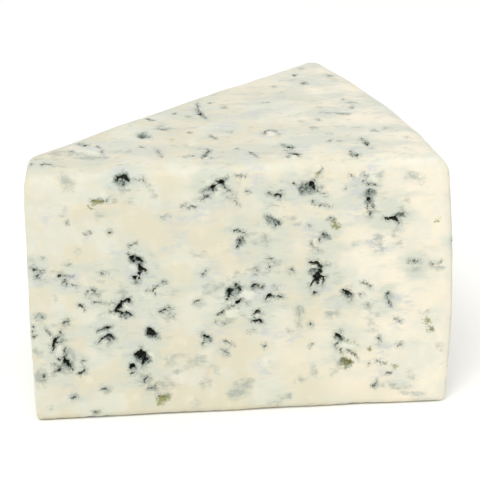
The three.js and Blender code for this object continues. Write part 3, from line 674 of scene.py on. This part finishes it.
def apply_modifier(piece, kind, **settings):
    """Adds a modifier with its settings and applies it."""
    bpy.context.view_layer.objects.active = piece
    modifier = piece.modifiers.new(kind.lower(), kind)
    for name, value in settings.items():
        setattr(modifier, name, value)
    bpy.ops.object.modifier_apply(modifier=modifier.name)


def knead(piece):
    """Gives the wedge an even skin of small faces that lies on the cut shape."""
    bpy.ops.object.select_all(action="DESELECT")
    piece.select_set(True)
    bpy.context.view_layer.objects.active = piece
    bpy.ops.object.duplicate()
    cut_shape = bpy.context.object
    apply_modifier(piece, "REMESH", mode="VOXEL", voxel_size=PASTE_GRID * MM)
    apply_modifier(piece, "SHRINKWRAP", target=cut_shape, wrap_method="NEAREST_SURFACEPOINT")
    bpy.data.objects.remove(cut_shape)


def points_of(piece):
    """The piece's points, in millimetres."""
    spots = np.empty(len(piece.data.vertices) * 3)
    piece.data.vertices.foreach_get("co", spots)
    return spots.reshape(-1, 3) / MM


def move_points(piece, spots):
    """Puts the piece's points at the given places, in millimetres."""
    piece.data.vertices.foreach_set("co", (spots * MM).ravel())
    piece.data.update()


def ease(value):
    """Zero to one with soft ends."""
    held = np.clip(value, 0, 1)
    return held * held * (3 - 2 * held)


def roll_top_edge(piece):
    """Rolls the top edge over all round, as the wire smears it, but less at the flat end of the tip."""
    spots = points_of(piece)
    level = spots * (1, 1, 0)
    from_tip = level - TIP_CENTRE
    from_heel = level - HEEL_CENTRE
    bearing = np.arctan2(from_tip[:, 1], from_tip[:, 0]) % math.tau
    round_tip = np.clip((bearing - math.pi / 2 - HALF_ANGLE) / FAR_TURN, 0, 1)
    turned = math.pi / 2 + HALF_ANGLE + round_tip * FAR_TURN
    out_of_far = np.column_stack((np.cos(turned), np.sin(turned), np.zeros(len(spots))))
    out_of_near = np.tile(out_of_cut(NEAR), (len(spots), 1))
    out_of_heel = from_heel / np.linalg.norm(from_heel, axis=1)[:, None]
    sunk = np.clip(1 - (WHEEL_HEIGHT - spots[:, 2]) / TOP_ROUND, 0, 1) * math.pi / 2
    turned_in = TOP_ROUND * (1 - np.cos(sunk))
    inside_near = -np.sum((level - CUTS_MEET) * out_of_near, axis=1)
    inside_far = TIP_ROUND - np.sum(from_tip * out_of_far, axis=1)
    inside_heel = HEEL_RADIUS - np.linalg.norm(from_heel, axis=1)
    far_share = 1 + (TIP_EDGE_SHARE - 1) * round_tip
    for outwards, inside, share in (
            (out_of_near, inside_near, 1),
            (out_of_far, inside_far, far_share),
            (out_of_heel, inside_heel, 1)):
        spots -= outwards * (share * turned_in * np.clip(1 - inside / ROLL_REACH, 0, 1))[:, None]
    rolled = sunk > 0
    spots[rolled, 2] = WHEEL_HEIGHT - TOP_ROUND * (1 - np.sin(sunk[rolled]))
    move_points(piece, spots)


def settle(piece):
    """Lets the cut paste settle: the tip and the heel belly out at mid height and the top crowns."""
    spots = points_of(piece)
    out = spots[:, 0] - SHARP_POINT
    height = spots[:, 2]
    waist = (2 * height / WHEEL_HEIGHT - 1) ** 2
    tip_reach = np.maximum(np.hypot(out, spots[:, 1]) - TIP_CENTRE_FROM_POINT + TIP_ROUND, 0)
    heel_share = ease((out - HEEL_REACH + HEEL_BELLY_STARTS) / HEEL_BELLY_SPREAD)
    from_point = np.hypot(out, spots[:, 1]) / WHEEL_RADIUS
    far_side = ease((np.arctan2(spots[:, 1], out) / HALF_ANGLE + 1) / 2)
    top_share = np.clip(1 - (WHEEL_HEIGHT - height) / CROWN_DEPTH, 0, 1)
    spots[:, 0] -= TIP_BELLY * (1 - waist) * np.exp(-tip_reach / TIP_BELLY_REACH)
    spots[:, 0] -= HEEL_BELLY * waist * heel_share
    spots[:, 2] += FAR_EDGE_CROWN * 4 * from_point * (1 - from_point) * far_side * top_share
    move_points(piece, spots)


def wander(spots, grain, reach, seed):
    """The points shifted about by a smooth random field, so that what is measured from them is ragged."""
    shift = Vector([seed * step for step in FIELD_STEPS])
    moved = np.empty_like(spots)
    for index, spot in enumerate(spots):
        here = Vector(spot)
        near = noise.noise_vector(here / grain + shift)
        fine = noise.noise_vector(here / (grain * FINER_GRAIN) + shift)
        moved[index] = here + (near + fine * FINER_SHARE) * reach
    return moved


def mark_depth(spots, marks, fade, taper=0.0):
    """How far each point lies inside the nearest mark, down to -fade outside it. A mark thins along its
    length by the taper."""
    depth = np.full(len(spots), -fade)
    for half_width, line in marks:
        ends = line if len(line) > 1 else [line[0], line[0]]
        low = np.min(ends, axis=0) - half_width - fade
        high = np.max(ends, axis=0) + half_width + fade
        nearby = np.flatnonzero(np.all((spots > low) & (spots < high), axis=1))
        if not len(nearby):
            continue
        here = spots[nearby]
        for step, (start, end) in enumerate(zip(ends, ends[1:])):
            start = np.array(start)
            run = np.array(end) - start
            length = run @ run
            share = np.clip((here - start) @ run / length, 0, 1) if length > 0 else np.zeros(len(here))
            away = np.linalg.norm(here - start - share[:, None] * run, axis=1)
            thinned = half_width * (1 - taper * (step + share) / (len(ends) - 1))
            depth[nearby] = np.maximum(depth[nearby], thinned - away)
    return depth


def snap_marks(piece, marks):
    """The marks with their points brought onto the piece's skin."""
    piece.data.calc_loop_triangles()
    tree = BVHTree.FromPolygons(
        [vertex.co / MM for vertex in piece.data.vertices],
        [tuple(face.vertices) for face in piece.data.polygons])
    return {
        kind: [(half_width, [np.array(tree.find_nearest(Vector(spot))[0]) for spot in line])
               for half_width, line in marks[kind]]
        for kind in KINDS}


def refine(piece, marks, reach):
    """Splits the faces within reach of a sunken mark into four."""
    spots = points_of(piece)
    depths = [mark_depth(spots, marks[kind], REFINE_SEARCH) for kind in SUNKEN_KINDS]
    close = np.maximum.reduce(depths) > -reach
    piece.data.polygons.foreach_set(
        "select", [bool(any(close[i] for i in face.vertices)) for face in piece.data.polygons])
    bpy.context.view_layer.objects.active = piece
    bpy.ops.object.mode_set(mode="EDIT")
    bpy.ops.mesh.select_mode(type="FACE")
    bpy.ops.mesh.subdivide(number_cuts=1)
    bpy.ops.object.mode_set(mode="OBJECT")


def normals_of(piece):
    """The piece's point normals."""
    normals = np.empty(len(piece.data.vertices) * 3)
    piece.data.vertices.foreach_get("normal", normals)
    return normals.reshape(-1, 3)


def relief(spots):
    """The gentle unevenness that the wire leaves in the paste, in millimetres, never standing proud."""
    swell = np.array([noise.noise(Vector(spot) / SWELL_GRAIN) for spot in spots])
    ripple = np.array([noise.noise(Vector(spot) / RIPPLE_GRAIN + RIPPLE_FIELD) for spot in spots])
    return -SWELL_DEPTH * (1 - swell) - RIPPLE_DEPTH * (1 - ripple)


def crowding(spots, marks):
    """How thickly the mould crowds round each point: 0 in clean paste, near 1 in a cluster."""
    crowd = np.zeros(len(spots))
    for kind, weight in HAZE_WEIGHTS.items():
        for _, line in marks[kind]:
            middle = np.mean(line, axis=0)
            near = np.flatnonzero(np.all(np.abs(spots - middle) < HAZE_LIMIT, axis=1))
            away = np.linalg.norm(spots[near] - middle, axis=1)
            crowd[near] += weight * np.exp(-(away / HAZE_REACH) ** 2)
    return 1 - np.exp(-crowd)


def store(piece, name, values):
    """Keeps one number per point on the piece for its material to read."""
    field = piece.data.attributes.new(name, "FLOAT", "POINT")
    field.data.foreach_set("value", np.asarray(values, dtype=np.float32))


def carve(piece, marks):
    """Sinks the pockets and veins into the skin, and keeps how deep each point lies in each kind of mark."""
    noise.seed_set(RAGGED_SEED)
    spots = points_of(piece)
    normals = normals_of(piece)
    roughness = np.array([noise.noise(Vector(spot) / FLOOR_GRAIN) for spot in spots])
    fields = {}
    shaped = {}
    for seed, (name, kind) in enumerate(KINDS.items()):
        ragged = wander(spots, kind.grain, kind.wander, seed)
        fields[name] = mark_depth(ragged, marks[name], kind.fade, kind.taper)
        floor = kind.level + kind.rough * roughness
        shaped[name] = kind.depth * ease((fields[name] + kind.lip) / kind.slope) * floor
    sink = np.maximum.reduce([shaped[name] for name in SUNKEN_KINDS])
    moved = np.minimum(relief(spots) - sink + shaped["curd"], 0)
    move_points(piece, spots + normals * moved[:, None])
    for name, depths in fields.items():
        store(piece, name, depths)
    store(piece, "haze", crowding(spots, marks))


def make_paste_wedge():
    """The whole wedge, cut, settled, refined near its mould and carved."""
    piece = cut_wedge()
    knead(piece)
    roll_top_edge(piece)
    settle(piece)
    marks = snap_marks(piece, all_marks())
    refine(piece, marks, FIRST_REFINE_REACH)
    refine(piece, marks, SECOND_REFINE_REACH)
    carve(piece, marks)
    bpy.ops.object.select_all(action="DESELECT")
    piece.select_set(True)
    bpy.context.view_layer.objects.active = piece
    bpy.ops.object.shade_smooth()
    return piece


# ---------------------------------------------------------------- the finish

def from_hex(code):
    """A linear colour with full alpha from an sRGB hex code such as EFE9D8."""
    channels = [int(code[i:i + 2], 16) / 255 for i in (0, 2, 4)]
    linear = [c / 12.92 if c <= 0.04045 else ((c + 0.055) / 1.055) ** 2.4 for c in channels]
    return (*linear, 1.0)


def add_node(tree, kind, inputs=None, **settings):
    """Adds a node. Settings are its properties; inputs are its sockets' values, or sockets linked to them."""
    node = tree.nodes.new(kind)
    for name, value in settings.items():
        setattr(node, name, value)
    for name, value in (inputs or {}).items():
        if isinstance(value, bpy.types.NodeSocket):
            tree.links.new(value, node.inputs[name])
        else:
            node.inputs[name].default_value = value
    return node


# The sockets of a Mix node that mixes colours
MIX_SHARE, MIX_FIRST, MIX_SECOND, MIX_RESULT = 0, 6, 7, 2


# The wire draws soft mould out along the cut, so its pattern is this much coarser along than across
SMEAR_STRETCH = 2.4

# The patterns in the paste: grain in millimetres, detail, roughness, and whether the wire drew it out
PATTERNS = {
    # the ragged edge of the paste's lighter, warmer heel side, partly its own tone and partly painted light
    "heel_tone_and_light": (16, 2, 0.5, False),
    "clouds": (7, 3, 0.55, False),
    "butter": (3.4, 4, 0.6, False),
    "broad_streaks": (6.0, 4, 0.6, True),
    "long_streaks": (3.2, 4, 0.6, True),
    "wisps": (1.3, 5, 0.66, True),
    "short_streaks": (1.0, 5, 0.65, True),
    "patches": (1.7, 3, 0.5, False),
    "crumbs": (0.55, 4, 0.65, False),
    "fine_crumbs": (0.34, 4, 0.65, False),
    "lining": (0.65, 5, 0.7, False),
    "swell": (3.0, 3, 0.55, False),
    "skin": (0.8, 5, 0.6, False),
}
# Every pattern swings about this far to either side of one half
PATTERN_SWING = 0.17


@dataclass
class Stain:
    """One colour in the paste. It comes in from one value to another of what it follows, most often how many
    millimetres a point lies inside a mark. A pattern makes its edge ragged by up to waver, and another may
    break it up into gaps."""
    colour: str
    follows: str
    starts: float
    full: float
    strength: float
    ragged_by: str = "crumbs"
    waver: float = 0.0
    broken_by: str = ""
    gap: float = 0.4
    solid: float = 0.6


CREAM = "D9D3BC"
STAINS = (
    # cream, warmer and lighter towards the heel, partly the paste's own tone and partly painted light, with
    # greener clouds and buttery patches
    Stain("EDE5D1", "heelwards", 0, 40, 1.0, "heel_tone_and_light", 12),
    Stain("DBDCCE", "clouds", 0.42, 0.66, 0.8),
    Stain("E9DFC9", "butter", 0.52, 0.70, 0.5),
    # mould that the wire smeared over the top
    Stain("C8CCBF", "height", 56.8, 58.6, 0.6, broken_by="broad_streaks", gap=0.44, solid=0.62),
    Stain("ABB2A7", "height", 56.8, 58.6, 0.45, broken_by="wisps", gap=0.55, solid=0.68),
    # mould under the surface, round the marks
    Stain("CCD0C2", "haze", 0.08, 0.70, 0.85, "long_streaks", 0.35),
    Stain("A7ADA1", "haze", 0.10, 0.80, 0.75, broken_by="wisps", gap=0.52, solid=0.66),
    Stain("C3C7C8", "bloom", -1.8, 0.8, 0.65, broken_by="short_streaks", gap=0.42, solid=0.62),
    Stain("A9AFA3", "grey", -1.0, 1.0, 0.90, "short_streaks", 0.75, "patches", 0.30, 0.56),
    Stain("E4E3D4", "curd", -0.5, 0.3, 0.65, "crumbs", 0.4),
    # grey skirts, hair cracks, dark veins, and pockets with a grey, an olive or a black lining
    Stain("A4AB9F", "vein", -0.8, 0.10, 0.50, "crumbs", 0.35),
    Stain("98A094", "open", -0.9, 0.05, 0.50, "crumbs", 0.35),
    Stain("4E574C", "torn", -1.15, -0.1, 0.6, broken_by="ridges", gap=0.030, solid=0.0),
    Stain("2E372D", "vein", -0.16, 0.05, 0.95, "fine_crumbs", 0.20, "patches", 0.38, 0.58),
    Stain("A3ACA2", "hollow", -0.45, 0.35, 0.9, "crumbs", 0.35),
    Stain("434D44", "hollow", -0.45, 0.35, 0.9, "crumbs", 0.35, "lining", 0.56, 0.40),
    Stain("84864B", "olive", -0.45, 0.30, 0.85, "crumbs", 0.4, "lining", 0.28, 0.50),
    Stain("070B06", "open", -0.08, 0.06, 1.0, "fine_crumbs", 0.15),
    Stain("4A5347", "open", -0.08, 0.06, 1.0, "fine_crumbs", 0.15, "lining", 0.48, 0.62),
)

# The paste is moist on the cut and dry in its pockets, and changes this far to either side of their edge
MOIST, DRY = 0.42, 0.85
DRIES_WITHIN = 0.1
SWELL_OVER_SKIN = 2.0


def per_metre(grain):
    """The scale of a pattern whose grain is given in millimetres."""
    return 1 / (grain * MM)


def blue_cheese_paste():
    """Blue cheese paste, cut with a wire: a moist, faintly translucent cream, marbled grey-green where the
    mould spreads under the surface, with black-green pockets, dark cracks, lilac blooms and olive flecks."""
    material = bpy.data.materials.new("blue_cheese_paste")
    material.use_nodes = True
    tree = material.node_tree
    tree.nodes.clear()
    place = add_node(tree, "ShaderNodeTexCoord").outputs["Object"]
    along_cut = add_node(tree, "ShaderNodeMapping", {
        "Vector": place, "Rotation": (0, 0, -HALF_ANGLE), "Scale": (SMEAR_STRETCH, 1, 1)},
        vector_type="TEXTURE").outputs["Vector"]

    # What the stains follow: the fields kept on the piece, the patterns, and the place on the wedge
    signals = {}
    for name in (*KINDS, "haze"):
        signals[name] = add_node(tree, "ShaderNodeAttribute", attribute_name=name).outputs["Fac"]
    for name, (grain, detail, roughness, drawn_out) in PATTERNS.items():
        signals[name] = add_node(tree, "ShaderNodeTexNoise", {
            "Vector": along_cut if drawn_out else place, "Scale": per_metre(grain), "Detail": detail,
            "Roughness": roughness}).outputs["Fac"]
    in_millimetres = add_node(tree, "ShaderNodeVectorMath", {0: place, "Scale": 1 / MM}, operation="SCALE")
    axes = add_node(tree, "ShaderNodeSeparateXYZ", {"Vector": in_millimetres.outputs["Vector"]})
    signals["heelwards"] = axes.outputs["X"]
    signals["height"] = axes.outputs["Z"]
    signals["torn"] = add_node(
        tree, "ShaderNodeMath", {0: signals["open"], 1: signals["vein"]}, operation="MAXIMUM").outputs[0]
    off_ridge = add_node(tree, "ShaderNodeMath", {0: signals["patches"], 1: 0.5}, operation="SUBTRACT")
    signals["ridges"] = add_node(
        tree, "ShaderNodeMath", {0: off_ridge.outputs[0]}, operation="ABSOLUTE").outputs[0]

    paste = from_hex(CREAM)
    for stain in STAINS:
        spread = stain.waver / PATTERN_SWING
        wavering = add_node(tree, "ShaderNodeMath", {
            0: signals[stain.ragged_by], 1: spread, 2: signals[stain.follows]}, operation="MULTIPLY_ADD")
        share = add_node(tree, "ShaderNodeMapRange", {
            "Value": wavering.outputs[0], "From Min": stain.starts + spread / 2,
            "From Max": stain.full + spread / 2, "To Max": stain.strength},
            interpolation_type="SMOOTHSTEP").outputs["Result"]
        if stain.broken_by:
            kept = add_node(tree, "ShaderNodeMapRange", {
                "Value": signals[stain.broken_by], "From Min": stain.gap, "From Max": stain.solid},
                interpolation_type="SMOOTHSTEP").outputs["Result"]
            share = add_node(tree, "ShaderNodeMath", {0: share, 1: kept}, operation="MULTIPLY").outputs[0]
        paste = add_node(
            tree, "ShaderNodeMix", {MIX_SHARE: share, MIX_FIRST: paste, MIX_SECOND: from_hex(stain.colour)},
            data_type="RGBA").outputs[MIX_RESULT]

    roughness = add_node(tree, "ShaderNodeMapRange", {
        "Value": signals["open"], "From Min": -DRIES_WITHIN, "From Max": DRIES_WITHIN,
        "To Min": MOIST, "To Max": DRY})
    unevenness = add_node(tree, "ShaderNodeMath", {
        0: signals["swell"], 1: SWELL_OVER_SKIN, 2: signals["skin"]}, operation="MULTIPLY_ADD")
    cut_skin = add_node(tree, "ShaderNodeBump", {
        "Height": unevenness.outputs[0], "Strength": 0.35, "Distance": 0.12 * MM})
    flesh = add_node(tree, "ShaderNodeBsdfPrincipled", {
        "Base Color": paste, "Roughness": roughness.outputs["Result"], "Normal": cut_skin.outputs["Normal"],
        "IOR": 1.45, "Specular IOR Level": 0.35,
        "Subsurface Weight": 0.3, "Subsurface Scale": 0.5 * MM, "Subsurface Radius": (1.0, 0.8, 0.55)},
        subsurface_method="RANDOM_WALK")
    add_node(tree, "ShaderNodeOutputMaterial", {"Surface": flesh.outputs["BSDF"]})
    return material


def white_studio_paper():
    """Matt white studio paper: it bounces soft light up onto the cut faces and holds a faint shadow."""
    material = bpy.data.materials.new("white_studio_paper")
    material.use_nodes = True
    paper = material.node_tree.nodes["Principled BSDF"]
    paper.inputs["Base Color"].default_value = from_hex("FCFCFA")
    paper.inputs["Roughness"].default_value = 0.9
    paper.inputs["Specular IOR Level"].default_value = 0.1
    return material


# ---------------------------------------------------------------- studio

# The floor and the key light are in metres
FLOOR_SIZE = 6.0
SURROUND_STRENGTH = 0.79
KEY_PLACE = Vector((-0.45, -0.62, 1.2))
KEY_AIM = Vector((0, 0, 0.03))
KEY_SIZE = 0.7
KEY_POWER = 8.8

# The camera: how far it is turned round the wedge, looks down and is rolled, and what it looks at from where
VIEW_TURN = math.radians(22.816)
VIEW_FALL = math.radians(24.176)
VIEW_ROLL = math.radians(-1.141)
VIEW_DISTANCE = 602.44
VIEW_LENS = 211.6
LOOK_POINT = Vector((SHARP_POINT + 55.50, -19.11, 41.36))


def lay_floor():
    """The sheet of paper that the wedge stands on."""
    bpy.ops.object.select_all(action="DESELECT")
    bpy.ops.mesh.primitive_plane_add(size=FLOOR_SIZE)
    floor = bpy.context.object
    floor.name = "studio_floor"
    floor.data.materials.append(white_studio_paper())


def light_studio():
    """A bright white surround with one large soft key from the front left."""
    world = bpy.data.worlds.new("studio_surround")
    world.use_nodes = True
    surround = world.node_tree.nodes["Background"]
    surround.inputs["Color"].default_value = from_hex("FFFFFF")
    surround.inputs["Strength"].default_value = SURROUND_STRENGTH
    bpy.context.scene.world = world
    softbox = bpy.data.lights.new("key_softbox", "AREA")
    softbox.size = KEY_SIZE
    softbox.energy = KEY_POWER
    lamp = bpy.data.objects.new("key_softbox", softbox)
    lamp.location = KEY_PLACE
    lamp.rotation_euler = (KEY_AIM - KEY_PLACE).to_track_quat("-Z", "Y").to_euler()
    bpy.context.collection.objects.link(lamp)
    bpy.context.scene.view_settings.view_transform = "Standard"


def aim_camera():
    """A long lens, a little above the wedge, that faces its near cut."""
    across = Vector((math.cos(VIEW_TURN), -math.sin(VIEW_TURN), 0))
    ahead = Vector((
        math.sin(VIEW_TURN) * math.cos(VIEW_FALL),
        math.cos(VIEW_TURN) * math.cos(VIEW_FALL),
        -math.sin(VIEW_FALL)))
    above = across.cross(ahead)
    right = across * math.cos(VIEW_ROLL) + above * math.sin(VIEW_ROLL)
    up = above * math.cos(VIEW_ROLL) - across * math.sin(VIEW_ROLL)
    lens = bpy.data.cameras.new("long_lens")
    lens.lens = VIEW_LENS
    lens.sensor_width = 36
    lens.clip_start = 0.01
    camera = bpy.data.objects.new("camera", lens)
    turned = Matrix((right, up, -ahead)).transposed().to_4x4()
    turned.translation = (LOOK_POINT - ahead * VIEW_DISTANCE) * MM
    camera.matrix_world = turned
    bpy.context.collection.objects.link(camera)
    bpy.context.scene.camera = camera


lay_floor()
light_studio()
aim_camera()

wedge = make_paste_wedge()
wedge.data.materials.append(blue_cheese_paste())
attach(wedge, "root")
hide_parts("cheese_wedge")
